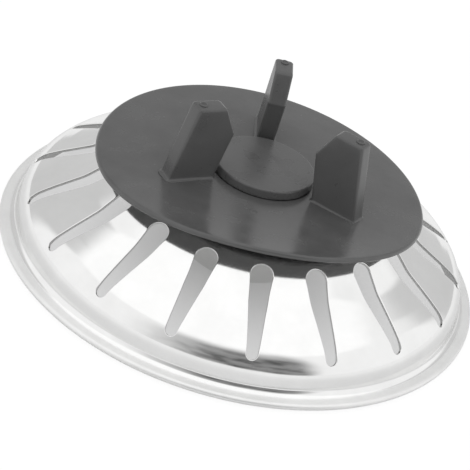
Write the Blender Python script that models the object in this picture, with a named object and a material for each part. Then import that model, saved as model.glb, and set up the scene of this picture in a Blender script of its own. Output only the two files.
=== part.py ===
"""Basket strainer plug for a kitchen sink waste, standing upside down on its rim.

Metres, +Z up. The Z axis is the plug's own axis and z = 0 is the plane of the rim. From there up come
the slotted steel bowl, the soft sealing disc and three gripping fingers round a low boss. The
lifting knob hangs inside the bowl, on a stem that passes through the bowl's floor.
"""

import math

import bmesh
import bpy
from mathutils import Matrix, Vector

# Clearance between neighbours, and how finely round shapes are divided
GAP = 0.0003
TURN_STEPS = 54
MIDDLE_TURN_STEPS = 36
SMALL_TURN_STEPS = 24
ARC_STEP = math.radians(18)
SMALL_ARC_STEP = math.radians(50)
BEAD_SEGMENTS = 9
MERGE_DISTANCE = 0.000005

# Bowl: one pressing of thin stainless sheet, its edge curled into a bead
SHEET = 0.0005
RIM_RADIUS = 0.0400
BEAD_WIDTH = 0.00275
BEAD_HEIGHT = 0.0023
BEAD_SWEEP = math.radians(270)
FLANGE_WIDTH = 0.0029
FLANGE_BEND = 0.0006
SHOULDER_HEIGHT = 0.0065
SHOULDER_BEND = 0.0060
DOME_WIDTH_SHARE = 0.5
DOME_DROP_SHARE = 0.475
DOME_BEND = 0.0150
STEP_WIDTH = 0.0050
STEP_DROP = 0.0040
STEP_BEND = 0.0080
FLOOR_RADIUS = 0.0230
FLOOR_HEIGHT = 0.0155
FLOOR_BEND = 0.0020

# Drain slots: tapered, punched square to the slope of the bowl
SLOT_COUNT = 18
SLOT_FLOOR_MARGIN = 0.00085
SLOT_FLOOR_DROP = 0.0007
SLOT_WALL_MARGIN = 0.0007
SLOT_WALL_DROP = 0.0004
SLOT_INNER_WIDTH = 0.0035
SLOT_OUTER_WIDTH = 0.0018
SLOT_END_SEGMENTS = 6
PUNCH_REACH = 0.0030

# Sealing disc: soft moulding whose thin lip closes the waste's throat
DISC_RADIUS = 0.0272
DISC_THICKNESS = 0.0014
DISC_LIP_THICKNESS = 0.0008
DISC_LIP_REACH = 0.0036
DISC_RECESS = 0.0003

# Hub between the fingers: clamps the disc to the floor of the bowl
HUB_RADIUS = 0.00904
HUB_RISE = 0.00146
HUB_EDGE_ROUND = 0.0004
HUB_SLEEVE_WALL = 0.0013
HUB_SHELF = 0.0008
DIMPLE_RADIUS = 0.0025
DIMPLE_DEPTH = 0.00015
DIMPLE_SLOPE = 0.0003

# Threaded insert moulded into the hub
INSERT_FLANGE_RADIUS = 0.0050
INSERT_FLANGE_THICKNESS = 0.0007
INSERT_NECK_RADIUS = 0.0034

# Gripping fingers: radial ribs with an inward barb and a lead-in slope above it
FINGER_COUNT = 3
FINGER_NAMES = ("finger_rear", "finger_left", "finger_right")
FINGER_START = math.radians(96.8)
FINGER_THICKNESS = 0.0030
FINGER_STANDOFF = 0.00096
FINGER_FOOT_LENGTH = 0.0081
FINGER_BARB_REACH = 0.0017
FINGER_BARB_HEIGHT = 0.0080
FINGER_TIP_SETBACK = 0.0008
FINGER_TIP_LENGTH = 0.0048
FINGER_HEIGHT = 0.0127
FINGER_EDGE_ROUND = 0.0004
FINGER_EDGE_SEGMENTS = 2

# Stem: turned shaft from the insert, through the floor, into the knob
STEM_THREAD_RADIUS = 0.0020
STEM_SHANK_RADIUS = 0.0032
STEM_COLLAR_RADIUS = 0.0050
STEM_COLLAR_THICKNESS = 0.0010
STEM_HEAD_RADIUS = 0.0042
STEM_HEAD_THICKNESS = 0.0012
STEM_CHAMFER = 0.0003

# Washers between the stem's collar and the floor
GASKET_RADIUS = 0.0060
GASKET_THICKNESS = 0.0008
WASHER_RADIUS = 0.0055
WASHER_THICKNESS = 0.0006

# Lifting knob: moulded core under a spun steel cap
KNOB_RADIUS = 0.0110
KNOB_CLEAR_HEIGHT = 0.0010
KNOB_CROWN = 0.0005
KNOB_FLAT_RADIUS = 0.0040
KNOB_CROWN_BEND = 0.0200
KNOB_CAP_SHEET = 0.0004
KNOB_CAP_HEIGHT = 0.0056
KNOB_CAP_BEND = 0.0018
KNOB_TURN_IN = 0.0012
KNOB_TURN_BEND = 0.0003
KNOB_NECK_RADIUS = 0.0052
KNOB_NECK_SHARE = 0.545
KNOB_NECK_BEND = 0.0030
KNOB_CORE_ROUND = 0.0004
KNOB_CORE_FLOOR = 0.0022

# Corners of the bowl and ends of its slots, which follow from the sizes above
WALL_RADIUS = RIM_RADIUS - FLANGE_WIDTH
STEP_RADIUS = FLOOR_RADIUS + STEP_WIDTH
STEP_HEIGHT = FLOOR_HEIGHT - STEP_DROP
DOME_RADIUS = STEP_RADIUS + DOME_WIDTH_SHARE * (WALL_RADIUS - STEP_RADIUS)
DOME_HEIGHT = STEP_HEIGHT - DOME_DROP_SHARE * (STEP_HEIGHT - SHOULDER_HEIGHT)
SLOT_INNER_RADIUS = FLOOR_RADIUS + SLOT_FLOOR_MARGIN
SLOT_INNER_HEIGHT = FLOOR_HEIGHT - SLOT_FLOOR_DROP
SLOT_OUTER_RADIUS = WALL_RADIUS - SLOT_WALL_MARGIN
SLOT_OUTER_HEIGHT = SHOULDER_HEIGHT - SLOT_WALL_DROP

# Places of the pieces along and round the axis
FLOOR_UNDERSIDE = FLOOR_HEIGHT - SHEET
DISC_UNDERSIDE = FLOOR_HEIGHT + GAP
DISC_TOP = DISC_UNDERSIDE + DISC_THICKNESS
HUB_TOP = DISC_TOP + HUB_RISE
HUB_FLANGE_BOTTOM = DISC_TOP - DISC_RECESS + GAP
HUB_SHELF_TOP = DISC_UNDERSIDE + HUB_SHELF
INSERT_TOP = HUB_SHELF_TOP + GAP + INSERT_FLANGE_THICKNESS
HUB_SLEEVE_RADIUS = INSERT_FLANGE_RADIUS + GAP + HUB_SLEEVE_WALL
BORE_RADIUS = STEM_THREAD_RADIUS + GAP
GASKET_TOP = FLOOR_UNDERSIDE - GAP
WASHER_TOP = GASKET_TOP - GASKET_THICKNESS - GAP
COLLAR_TOP = WASHER_TOP - WASHER_THICKNESS - GAP
COLLAR_BOTTOM = COLLAR_TOP - STEM_COLLAR_THICKNESS
CORE_TOP = COLLAR_BOTTOM - GAP
CORE_BOTTOM = KNOB_CLEAR_HEIGHT + KNOB_CAP_SHEET + GAP
CORE_CAVITY_BOTTOM = CORE_BOTTOM + KNOB_CORE_FLOOR
STEM_BOTTOM = CORE_CAVITY_BOTTOM + GAP
STEM_HEAD_TOP = STEM_BOTTOM + STEM_HEAD_THICKNESS
FINGER_FOOT_HEIGHT = DISC_TOP + GAP
FINGER_FOOT_INNER_RADIUS = HUB_RADIUS + FINGER_STANDOFF
FINGER_FOOT_OUTER_RADIUS = FINGER_FOOT_INNER_RADIUS + FINGER_FOOT_LENGTH
FINGER_BARB_RADIUS = FINGER_FOOT_INNER_RADIUS - FINGER_BARB_REACH
FINGER_TIP_INNER_RADIUS = FINGER_FOOT_INNER_RADIUS + FINGER_TIP_SETBACK
FINGER_TIP_OUTER_RADIUS = FINGER_TIP_INNER_RADIUS + FINGER_TIP_LENGTH
FINGER_HINGE_RADIUS = (FINGER_FOOT_INNER_RADIUS + FINGER_FOOT_OUTER_RADIUS) / 2


def clear_scene():
    """Remove every object that is already in the scene."""
    for item in list(bpy.data.objects):
        bpy.data.objects.remove(item, do_unlink=True)


def surface(name, colour, roughness, metallic):
    """Principled material in one colour."""
    material = bpy.data.materials.new(name)
    material.use_nodes = True
    shader = material.node_tree.nodes["Principled BSDF"]
    shader.inputs["Base Color"].default_value = (*colour, 1)
    shader.inputs["Roughness"].default_value = roughness
    shader.inputs["Metallic"].default_value = metallic
    material.diffuse_color = (*colour, 1)
    return material


def polished_steel(name):
    return surface(name, (0.80, 0.80, 0.79), 0.12, 1)


def bright_brass(name):
    return surface(name, (0.72, 0.53, 0.25), 0.30, 1)


def grey_moulding(name):
    return surface(name, (0.16, 0.16, 0.16), 0.38, 0)


def black_rubber(name):
    return surface(name, (0.03, 0.03, 0.03), 0.65, 0)


def add_object(name, mesh, material):
    """Put a mesh in the scene as one named piece with its own material."""
    item = bpy.data.objects.new(name, mesh)
    bpy.context.scene.collection.objects.link(item)
    mesh.materials.append(material)
    return item


def corner_turns(places):
    """Signed angle that a path turns through at each of its corners, zero at its ends."""
    turns = [0]
    for before, place, after in zip(places, places[1:], places[2:]):
        turns.append((place - before).angle_signed(after - place))
    return turns + [0]


def fitted_bends(places, bends):
    """Bends, made smaller where the arcs at the two ends of an edge would run into each other."""
    reaches = [bend * math.tan(abs(turn) / 2) for bend, turn in zip(bends, corner_turns(places))]
    fits = [1] * len(places)
    for index, (start, end) in enumerate(zip(places, places[1:])):
        taken = reaches[index] + reaches[index + 1]
        length = (end - start).length
        if taken > length:
            fits[index] = min(fits[index], length / taken)
            fits[index + 1] = min(fits[index + 1], length / taken)
    return [bend * fit for bend, fit in zip(bends, fits)]


def rounded(corners, arc_step=ARC_STEP):
    """Walk a path of (radius, height, bend) corners and round each corner to an arc.

    Returns (point, left normal) pairs. A corner with no bend stays sharp.
    """
    places = [Vector(corner[:2]) for corner in corners]
    bends = fitted_bends(places, [corner[2] for corner in corners])
    walk = []
    for index, place in enumerate(places):
        before = (place - places[index - 1]).normalized() if index > 0 else None
        after = (places[index + 1] - place).normalized() if index + 1 < len(places) else None
        if before is None or after is None:
            heading = after or before
            walk.append((place, heading.orthogonal()))
            continue
        turn = before.angle_signed(after)
        bend = bends[index]
        if bend == 0:
            walk.append((place, (before + after).orthogonal().normalized()))
            continue
        start = place - before * bend * math.tan(abs(turn) / 2)
        side = -math.copysign(1, turn)
        centre = start + before.orthogonal() * bend * side
        segments = max(1, math.ceil(abs(turn) / arc_step))
        for step in range(segments + 1):
            swing = Matrix.Rotation(-turn * step / segments, 2)
            walk.append((centre + swing @ (start - centre), swing @ before.orthogonal()))
    return walk


def outline(corners, arc_step=ARC_STEP):
    """Points alone of a rounded path."""
    return [point for point, normal in rounded(corners, arc_step)]


def sheet_section(walk, thickness):
    """Closed strip between a path and its copy at one sheet thickness to the right."""
    face = [point for point, normal in walk]
    back = [point - normal * thickness for point, normal in walk]
    return face + back[::-1]


def turned(name, points, material, steps, closed):
    """Turn a half section about Z. Its outer side runs from top to bottom."""
    mesh = bpy.data.meshes.new(name)
    edges = [(index, index + 1) for index in range(len(points) - 1)]
    if closed:
        edges.append((len(points) - 1, 0))
    mesh.from_pydata([(point[0], 0, point[1]) for point in points], edges, [])
    item = add_object(name, mesh, material)
    screw = item.modifiers.new("turn", "SCREW")
    screw.axis = "Z"
    screw.angle = math.tau
    screw.steps = steps
    screw.render_steps = steps
    screw.use_merge_vertices = True
    screw.merge_threshold = MERGE_DISTANCE
    screw.use_smooth_shade = True
    return item


def bowl_path():
    """Outer face of the bowl's sheet, from the stem hole out to the end of the curled edge."""
    walk = rounded([
        (BORE_RADIUS, FLOOR_HEIGHT, 0),
        (FLOOR_RADIUS, FLOOR_HEIGHT, FLOOR_BEND),
        (STEP_RADIUS, STEP_HEIGHT, STEP_BEND),
        (DOME_RADIUS, DOME_HEIGHT, DOME_BEND),
        (WALL_RADIUS, SHOULDER_HEIGHT, SHOULDER_BEND),
        (WALL_RADIUS, SHEET, FLANGE_BEND),
        (RIM_RADIUS - BEAD_WIDTH / 2, SHEET, 0),
    ])
    centre = Vector((RIM_RADIUS - BEAD_WIDTH / 2, BEAD_HEIGHT / 2))
    across = BEAD_WIDTH / 2 - SHEET
    upward = BEAD_HEIGHT / 2 - SHEET
    for step in range(1, BEAD_SEGMENTS + 1):
        angle = BEAD_SWEEP * step / BEAD_SEGMENTS
        reach = Vector((across * math.sin(angle), -upward * math.cos(angle)))
        outward = Vector((math.sin(angle) / across, -math.cos(angle) / upward)).normalized()
        walk.append((centre + reach, -outward))
    return walk


def slot_plan():
    """Plan of one slot along its slope: a taper between two half-round ends, inner tip at zero."""
    length = math.hypot(SLOT_OUTER_RADIUS - SLOT_INNER_RADIUS, SLOT_INNER_HEIGHT - SLOT_OUTER_HEIGHT)
    inner = SLOT_INNER_WIDTH / 2
    outer = SLOT_OUTER_WIDTH / 2
    points = []
    for centre, radius, start in ((inner, inner, math.pi / 2), (length - outer, outer, -math.pi / 2)):
        for step in range(SLOT_END_SEGMENTS + 1):
            angle = start + math.pi * step / SLOT_END_SEGMENTS
            points.append((centre + radius * math.cos(angle), radius * math.sin(angle)))
    return points


def slot_punches():
    """All the punches as one hidden cutter, each square to the bowl's slope."""
    slope = math.atan2(SLOT_INNER_HEIGHT - SLOT_OUTER_HEIGHT, SLOT_OUTER_RADIUS - SLOT_INNER_RADIUS)
    plan = slot_plan()
    shape = bmesh.new()
    for index in range(SLOT_COUNT):
        place = (
            Matrix.Rotation(math.tau * index / SLOT_COUNT, 4, "Z")
            @ Matrix.Translation((SLOT_INNER_RADIUS, 0, SLOT_INNER_HEIGHT))
            @ Matrix.Rotation(slope, 4, "Y")
        )
        corners = [shape.verts.new(place @ Vector((x, y, -PUNCH_REACH))) for x, y in plan]
        base = shape.faces.new(corners)
        push = place.to_3x3() @ Vector((0, 0, PUNCH_REACH + PUNCH_REACH))
        grown = bmesh.ops.extrude_face_region(shape, geom=[base])["geom"]
        lid = [part for part in grown if isinstance(part, bmesh.types.BMVert)]
        bmesh.ops.translate(shape, vec=push, verts=lid)
    bmesh.ops.recalc_face_normals(shape, faces=shape.faces)
    mesh = bpy.data.meshes.new("slot_punches")
    shape.to_mesh(mesh)
    shape.free()
    punches = bpy.data.objects.new("slot_punches", mesh)
    bpy.context.scene.collection.objects.link(punches)
    punches.display_type = "WIRE"
    punches.hide_render = True
    return punches


def make_bowl():
    section = sheet_section(bowl_path(), SHEET)
    bowl = turned("strainer_basket", section, polished_steel("basket_steel"), TURN_STEPS, True)
    cut = bowl.modifiers.new("slots", "BOOLEAN")
    cut.operation = "DIFFERENCE"
    cut.solver = "EXACT"
    cut.object = slot_punches()
    return bowl


def make_disc():
    """Flat disc, recessed for the hub's flange and bored for its sleeve; it thins to the lip."""
    hole = HUB_SLEEVE_RADIUS + GAP
    seat = HUB_RADIUS + GAP
    lip_round = DISC_LIP_THICKNESS / 2
    lip_underside = DISC_TOP - DISC_LIP_THICKNESS
    section = outline([
        (hole, DISC_TOP - DISC_RECESS, 0),
        (seat, DISC_TOP - DISC_RECESS, 0),
        (seat, DISC_TOP, 0),
        (DISC_RADIUS, DISC_TOP, lip_round),
        (DISC_RADIUS, lip_underside, lip_round),
        (DISC_RADIUS - lip_round, lip_underside, 0),
        (DISC_RADIUS - DISC_LIP_REACH, DISC_UNDERSIDE, 0),
        (hole, DISC_UNDERSIDE, 0),
    ], SMALL_ARC_STEP)
    return turned("seal_disc", section, grey_moulding("disc_rubber"), TURN_STEPS, True)


def make_hub():
    """Boss with a dimpled top, and a sleeve whose shelf holds the insert's flange."""
    pocket = INSERT_FLANGE_RADIUS + GAP
    throat = INSERT_NECK_RADIUS + GAP
    section = outline([
        (0, HUB_TOP - DIMPLE_DEPTH, 0),
        (DIMPLE_RADIUS - DIMPLE_SLOPE, HUB_TOP - DIMPLE_DEPTH, 0),
        (DIMPLE_RADIUS, HUB_TOP, 0),
        (HUB_RADIUS, HUB_TOP, HUB_EDGE_ROUND),
        (HUB_RADIUS, HUB_FLANGE_BOTTOM, 0),
        (HUB_SLEEVE_RADIUS, HUB_FLANGE_BOTTOM, 0),
        (HUB_SLEEVE_RADIUS, DISC_UNDERSIDE, 0),
        (throat, DISC_UNDERSIDE, 0),
        (throat, HUB_SHELF_TOP, 0),
        (pocket, HUB_SHELF_TOP, 0),
        (pocket, INSERT_TOP + GAP, 0),
        (0, INSERT_TOP + GAP, 0),
    ], SMALL_ARC_STEP)
    return turned("centre_boss", section, grey_moulding("boss_plastic"), MIDDLE_TURN_STEPS, False)


def make_insert():
    flange_bottom = HUB_SHELF_TOP + GAP
    section = outline([
        (BORE_RADIUS, INSERT_TOP, 0),
        (INSERT_FLANGE_RADIUS, INSERT_TOP, 0),
        (INSERT_FLANGE_RADIUS, flange_bottom, 0),
        (INSERT_NECK_RADIUS, flange_bottom, 0),
        (INSERT_NECK_RADIUS, DISC_UNDERSIDE, 0),
        (BORE_RADIUS, DISC_UNDERSIDE, 0),
    ])
    return turned("threaded_insert", section, bright_brass("insert_brass"), SMALL_TURN_STEPS, True)


def make_stem():
    """Threaded end at the top, collar under the washers, headed end inside the knob."""
    section = outline([
        (0, INSERT_TOP, 0),
        (STEM_THREAD_RADIUS - STEM_CHAMFER, INSERT_TOP, 0),
        (STEM_THREAD_RADIUS, INSERT_TOP - STEM_CHAMFER, 0),
        (STEM_THREAD_RADIUS, COLLAR_TOP, 0),
        (STEM_COLLAR_RADIUS, COLLAR_TOP, STEM_CHAMFER),
        (STEM_COLLAR_RADIUS, COLLAR_BOTTOM, STEM_CHAMFER),
        (STEM_SHANK_RADIUS, COLLAR_BOTTOM, 0),
        (STEM_SHANK_RADIUS, STEM_HEAD_TOP, 0),
        (STEM_HEAD_RADIUS, STEM_HEAD_TOP, 0),
        (STEM_HEAD_RADIUS, STEM_BOTTOM, 0),
        (0, STEM_BOTTOM, 0),
    ], SMALL_ARC_STEP)
    return turned("knob_stem", section, polished_steel("stem_steel"), SMALL_TURN_STEPS, False)


def flat_ring(name, radius, top, thickness, material):
    """Plain washer round the stem's threaded end."""
    section = outline([
        (BORE_RADIUS, top, 0),
        (radius, top, 0),
        (radius, top - thickness, 0),
        (BORE_RADIUS, top - thickness, 0),
    ])
    return turned(name, section, material, SMALL_TURN_STEPS, True)


def make_cap():
    """Spun cap: crowned face, round shoulder, straight side and an edge turned in over the core."""
    lip = KNOB_CLEAR_HEIGHT + KNOB_CAP_HEIGHT - KNOB_CAP_SHEET
    inside = KNOB_RADIUS - KNOB_CAP_SHEET
    walk = rounded([
        (0, KNOB_CLEAR_HEIGHT + KNOB_CAP_SHEET, 0),
        (KNOB_FLAT_RADIUS, KNOB_CLEAR_HEIGHT + KNOB_CAP_SHEET, KNOB_CROWN_BEND),
        (inside, KNOB_CLEAR_HEIGHT + KNOB_CAP_SHEET + KNOB_CROWN, KNOB_CAP_BEND),
        (inside, lip, KNOB_TURN_BEND),
        (inside - KNOB_TURN_IN, lip, 0),
    ], SMALL_ARC_STEP)
    section = sheet_section(walk, KNOB_CAP_SHEET)
    return turned("knob_cap", section, polished_steel("cap_steel"), MIDDLE_TURN_STEPS, False)


def make_core():
    """Knob core: neck below the collar, flare to the head, undercut cavity for the stem's head."""
    side = KNOB_RADIUS - KNOB_CAP_SHEET - GAP
    shoulder = KNOB_CLEAR_HEIGHT + KNOB_CAP_HEIGHT - KNOB_CAP_SHEET - GAP
    cavity = STEM_HEAD_RADIUS + GAP
    bore = STEM_SHANK_RADIUS + GAP
    waist = side - KNOB_TURN_IN - KNOB_TURN_IN
    section = outline([
        (0, CORE_CAVITY_BOTTOM, 0),
        (cavity, CORE_CAVITY_BOTTOM, 0),
        (cavity, STEM_HEAD_TOP + GAP, 0),
        (bore, STEM_HEAD_TOP + GAP, 0),
        (bore, CORE_TOP, 0),
        (KNOB_NECK_RADIUS, CORE_TOP, KNOB_CORE_ROUND),
        (KNOB_NECK_RADIUS, shoulder + KNOB_NECK_SHARE * (CORE_TOP - shoulder), KNOB_NECK_BEND),
        (waist, shoulder, 0),
        (side, shoulder, KNOB_CORE_ROUND),
        (side, CORE_BOTTOM + KNOB_CROWN, KNOB_CAP_BEND),
        (KNOB_FLAT_RADIUS, CORE_BOTTOM, KNOB_CROWN_BEND),
        (0, CORE_BOTTOM, 0),
    ], SMALL_ARC_STEP)
    return turned("knob_core", section, black_rubber("core_plastic"), SMALL_TURN_STEPS, False)


def finger_plan():
    """Side view of a finger, as distances from its hinge: five corners, foot first."""
    return [
        (FINGER_FOOT_INNER_RADIUS - FINGER_HINGE_RADIUS, FINGER_FOOT_HEIGHT - DISC_TOP),
        (FINGER_FOOT_OUTER_RADIUS - FINGER_HINGE_RADIUS, FINGER_FOOT_HEIGHT - DISC_TOP),
        (FINGER_TIP_OUTER_RADIUS - FINGER_HINGE_RADIUS, FINGER_HEIGHT),
        (FINGER_TIP_INNER_RADIUS - FINGER_HINGE_RADIUS, FINGER_HEIGHT),
        (FINGER_BARB_RADIUS - FINGER_HINGE_RADIUS, FINGER_BARB_HEIGHT),
    ]


def finger_mesh():
    """Extrude the side view across the finger's thickness and round every edge but the foot's."""
    shape = bmesh.new()
    half = FINGER_THICKNESS / 2
    side = shape.faces.new([shape.verts.new((x, -half, z)) for x, z in finger_plan()])
    grown = bmesh.ops.extrude_face_region(shape, geom=[side])["geom"]
    far_side = [part for part in grown if isinstance(part, bmesh.types.BMVert)]
    bmesh.ops.translate(shape, vec=(0, FINGER_THICKNESS, 0), verts=far_side)
    bmesh.ops.recalc_face_normals(shape, faces=shape.faces)
    foot = GAP + MERGE_DISTANCE
    edges = [edge for edge in shape.edges if max(end.co.z for end in edge.verts) > foot]
    bmesh.ops.bevel(
        shape,
        geom=edges,
        offset=FINGER_EDGE_ROUND,
        segments=FINGER_EDGE_SEGMENTS,
        profile=0.5,
        affect="EDGES",
    )
    mesh = bpy.data.meshes.new("finger")
    shape.to_mesh(mesh)
    shape.free()
    return mesh


def make_fingers():
    """Three fingers round the hub, each with its origin on its own hinge line."""
    for index, name in enumerate(FINGER_NAMES):
        angle = FINGER_START + math.tau * index / FINGER_COUNT
        finger = add_object(name, finger_mesh(), grey_moulding(name + "_plastic"))
        across = Vector((math.cos(angle), math.sin(angle), 0)) * FINGER_HINGE_RADIUS
        finger.location = across + Vector((0, 0, DISC_TOP))
        finger.rotation_euler = (0, 0, angle)


def main():
    clear_scene()
    make_bowl()
    make_disc()
    make_hub()
    make_insert()
    make_fingers()
    make_stem()
    flat_ring("stem_gasket", GASKET_RADIUS, GASKET_TOP, GASKET_THICKNESS, black_rubber("gasket_rubber"))
    flat_ring("load_washer", WASHER_RADIUS, WASHER_TOP, WASHER_THICKNESS, polished_steel("washer_steel"))
    make_core()
    make_cap()


main()
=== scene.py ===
"""Looks of the basket strainer plug: polished steel bowl, grey moulded disc, boss and fingers.

Metres, in the part's own frame: +Z along the plug's axis, z = 0 at the rim on the floor.
"""

import math

import bmesh
import bpy
from mathutils import Matrix, Vector


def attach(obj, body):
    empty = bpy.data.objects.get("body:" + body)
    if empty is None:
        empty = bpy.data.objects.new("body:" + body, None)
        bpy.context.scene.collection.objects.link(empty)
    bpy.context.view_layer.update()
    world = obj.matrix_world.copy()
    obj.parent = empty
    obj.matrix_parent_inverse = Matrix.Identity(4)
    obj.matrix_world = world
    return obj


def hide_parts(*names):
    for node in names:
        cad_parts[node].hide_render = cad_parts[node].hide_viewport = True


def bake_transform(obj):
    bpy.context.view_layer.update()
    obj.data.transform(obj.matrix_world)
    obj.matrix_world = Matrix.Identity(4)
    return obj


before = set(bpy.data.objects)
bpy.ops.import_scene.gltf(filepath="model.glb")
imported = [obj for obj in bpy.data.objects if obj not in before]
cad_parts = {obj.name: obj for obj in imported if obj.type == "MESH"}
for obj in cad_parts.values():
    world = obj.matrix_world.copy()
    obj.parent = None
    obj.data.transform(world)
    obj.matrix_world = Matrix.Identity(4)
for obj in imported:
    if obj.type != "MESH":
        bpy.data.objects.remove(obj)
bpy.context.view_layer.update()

# Clearance between neighbours, as in the part
GAP = 0.0003

# Fineness of the meshes
TURN_STEPS = 180
KNOB_TURN_STEPS = 120
SMALL_TURN_STEPS = 96
PIP_TURN_STEPS = 32
FINE_ARC_STEP = math.radians(2)
CAP_ARC_STEP = FINE_ARC_STEP * 3
ARC_STEP = FINE_ARC_STEP * 5
EDGE_ANGLE = math.radians(40)
STEEP_EDGE_ANGLE = math.radians(50)
ROW_TURN = math.radians(6)
ROW_LENGTH = 0.0008
ROW_SEARCH_STEP = ROW_LENGTH / 16
HALVINGS = 40
KNOWN_NORMAL_LENGTH = 0.5
MERGE_DISTANCE = 0.000001
MICRON = 0.000001

# Bowl section: as in the part from the stem hole to the shoulder
SHEET = 0.0005
RIM_RADIUS = 0.0400
FLANGE_WIDTH = 0.0029
FLANGE_BEND = 0.0006
SHOULDER_HEIGHT = 0.0065
SHOULDER_BEND = 0.0060
DOME_WIDTH_SHARE = 0.5
DOME_DROP_SHARE = 0.475
DOME_BEND = 0.0150
STEP_WIDTH = 0.0050
STEP_DROP = 0.0040
STEP_BEND = 0.0080
FLOOR_RADIUS = 0.0230
FLOOR_HEIGHT = 0.0155
FLOOR_BEND = 0.0020
STEM_HOLE_RADIUS = 0.0023

# Rim: the wall flares and blends into a low lip, whose section is two quarter ellipses
WALL_FLARE = 0.0005
LIP_HEIGHT = 0.00095
LIP_FOOT_WIDTH = 0.0016
LIP_TOP_WIDTH = 0.00065
LIP_TOP_RISE = 0.00045
BLEND_RADIUS = 0.0013
BLEND_CENTRE_RADIUS = 0.038712
BLEND_END = math.radians(5)
BLEND_END_SHARE = 0.1

# Drain slots, as in the part, with the small round on a punched edge
SLOT_COUNT = 18
SLOT_FLOOR_MARGIN = 0.00085
SLOT_FLOOR_DROP = 0.0007
SLOT_WALL_MARGIN = 0.0007
SLOT_WALL_DROP = 0.0004
SLOT_INNER_WIDTH = 0.0035
SLOT_OUTER_WIDTH = 0.0018
SLOT_EDGE_ROUND = 0.00010
SLOT_EDGE_HOLD = 0.00006
SLOT_END_SEGMENTS = 12
SLOT_SIDE_SEGMENTS = 44
SLOT_FIELD_MARGIN = 0.0013
FIELD_SHARES = (0, 0.03, 0.08, 0.16, 0.27, 0.41, 0.58, 0.78, 1)
ROUND_ANGLES = (0, 30, 60, 90)

# Sealing disc: flat in the part, flexed here as the soft lip has taken it
DISC_RADIUS = 0.0272
DISC_THICKNESS = 0.0014
DISC_LIP_THICKNESS = 0.0008
DISC_LIP_REACH = 0.0036
DISC_RECESS = 0.0003
DISC_LIP_ROUND = 0.00055
FLEX_START_RADIUS = 0.0100
FLEX_POWER = 1.7
DROOP = -0.00075
DROOP_SWING = -0.00035
DROOP_ANGLE = math.radians(30)
LIFT = 0.00285
LIFT_ANGLE = math.radians(277)
LIFT_REACH_BEFORE = math.radians(80)
LIFT_REACH_AFTER = math.radians(95)

# Boss and insert
HUB_RADIUS = 0.00904
HUB_RISE = 0.00146
HUB_EDGE_ROUND = 0.00032
HUB_SLEEVE_RADIUS = 0.0066
HUB_SHELF_THICKNESS = 0.0008
HUB_SHRINK = 0.08
HUB_FORWARD = 0.0006
HUB_FADE = 0.0027
INSERT_FLANGE_RADIUS = 0.0050
INSERT_FLANGE_THICKNESS = 0.0007
INSERT_NECK_RADIUS = 0.0034
DIMPLE_RADIUS = 0.0025
DIMPLE_DEPTH = 0.00006
DIMPLE_SLOPE = 0.0006

# Fingers: the rear one stands a little further in than the others, and each has a round fillet at
# its foot
FINGER_NAMES = ("finger_rear", "finger_left", "finger_right")
FINGER_BODIES = ("rear_grip", "left_grip", "right_grip")
FINGER_START = math.radians(96.8)
FINGER_INSETS = (0.0009, 0, 0)
FINGER_THICKNESS = 0.0030
FINGER_FOOT_INNER = 0.0100
FINGER_FOOT_OUTER = 0.0181
FINGER_BARB = 0.0083
FINGER_BARB_HEIGHT = 0.0080
FINGER_TIP_INNER = 0.0108
FINGER_TIP_OUTER = 0.0156
FINGER_HEIGHT = 0.0127
FINGER_CORNER_ROUND = 0.00045
FINGER_TOP_ROUND = 0.00045
FINGER_FOOT_FILLET = 0.0004
FINGER_SINK = 0.0004
FINGER_FILLET_STEPS = 6
FINGER_SIDE_STEPS = 12
FINGER_SLOPE_STEPS = 6
FINGER_TOP_STEPS = 8
FINGER_CORNER_STEPS = 6
FINGER_LONG_STEPS = 10
FINGER_SHORT_STEPS = 4

# Stem, washers and knob, as in the part
STEM_THREAD_RADIUS = 0.0020
STEM_SHANK_RADIUS = 0.0032
STEM_COLLAR_RADIUS = 0.0050
STEM_COLLAR_THICKNESS = 0.0010
STEM_HEAD_RADIUS = 0.0042
STEM_HEAD_THICKNESS = 0.0012
STEM_CHAMFER = 0.0003
GASKET_RADIUS = 0.0060
GASKET_THICKNESS = 0.0008
GASKET_EDGE_ROUND = 0.0002
WASHER_RADIUS = 0.0055
WASHER_THICKNESS = 0.0006
WASHER_EDGE_ROUND = 0.0001
KNOB_RADIUS = 0.0110
KNOB_CLEAR_HEIGHT = 0.0010
KNOB_CROWN = 0.0005
KNOB_FLAT_RADIUS = 0.0040
KNOB_CROWN_BEND = 0.0200
KNOB_CAP_SHEET = 0.0004
KNOB_CAP_HEIGHT = 0.0056
KNOB_CAP_BEND = 0.0018
KNOB_TURN_IN = 0.0012
KNOB_TURN_BEND = 0.0003
KNOB_NECK_RADIUS = 0.0052
KNOB_NECK_SHARE = 0.545
KNOB_NECK_BEND = 0.0030
KNOB_CORE_ROUND = 0.0004
KNOB_CORE_FLOOR = 0.0022

# Gate marks on the disc and on the fingers' tips: a pip with a crater, in shares of its size
PIP_RADIUS = 0.00070
PIP_HEIGHT = 0.00028
PIP_FLOOR_SHARE = 0.2
PIP_FLOOR_EDGE_SHARE = 0.45
PIP_FLOOR_BEND_SHARE = 0.2
PIP_CREST_SHARE = 0.7
PIP_SHOULDER_SHARE = 0.5
PIP_BEND_SHARE = 0.15
FINGER_PIP_INSET = 0.0012
DISC_PIP_ACROSS = 0.0004
DISC_PIP_ALONG = -0.0138
DISC_PIP_SIZE = 0.95

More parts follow.
